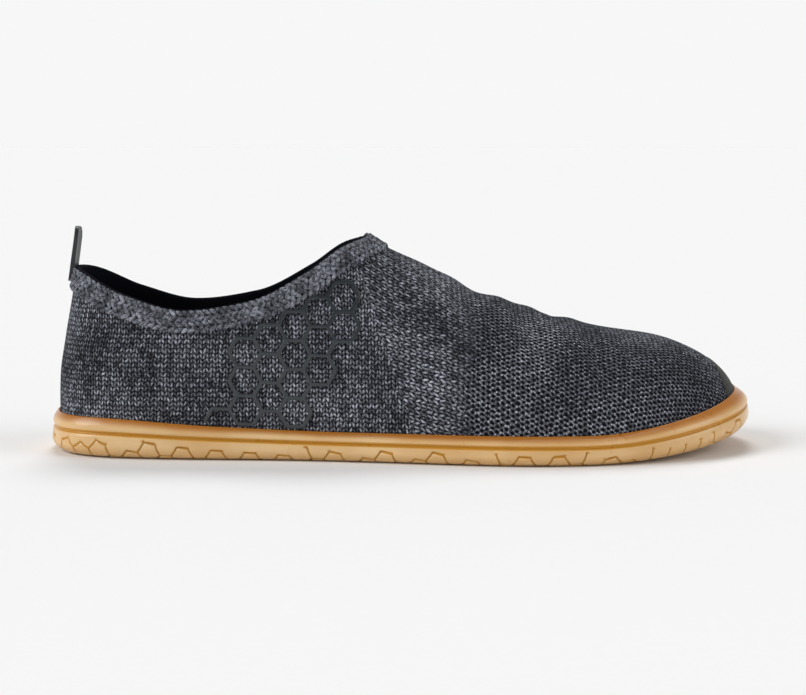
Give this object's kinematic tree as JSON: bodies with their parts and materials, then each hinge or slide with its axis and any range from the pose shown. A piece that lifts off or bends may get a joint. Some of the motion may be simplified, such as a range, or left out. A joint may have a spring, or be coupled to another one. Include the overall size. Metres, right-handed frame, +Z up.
{
  "type": "barefoot shoe",
  "caption": "Low slip-on barefoot shoe, right foot: knitted upper with a ribbed collar, flat flexible gum rubber cup sole with a honeycomb tread, loose footbed and heel pull tab.",
  "frame": {"origin": "on the floor, under the middle of the sole's box", "axes": "+X from heel to toe, +Y to the inner (medial) side of this right shoe, +Z up"},
  "size_m": [0.284, 0.1053, 0.0893],
  "materials": {
    "gum_rubber": "satin, slightly translucent gum rubber",
    "knit": "matt slate grey and black two-tone knit",
    "footbed": "matt black fabric over foam",
    "print_film": "glossy raised polymer print",
    "tab_plastic": "smooth, slightly soft black plastic"
  },
  "bodies": {
    "root": {"outsole": "gum_rubber", "upper": "knit", "insole": "footbed", "honeycomb_print_lateral": "print_film", "honeycomb_print_medial": "print_film", "heel_pull_tab": "tab_plastic"}
  },
  "joints": []
}
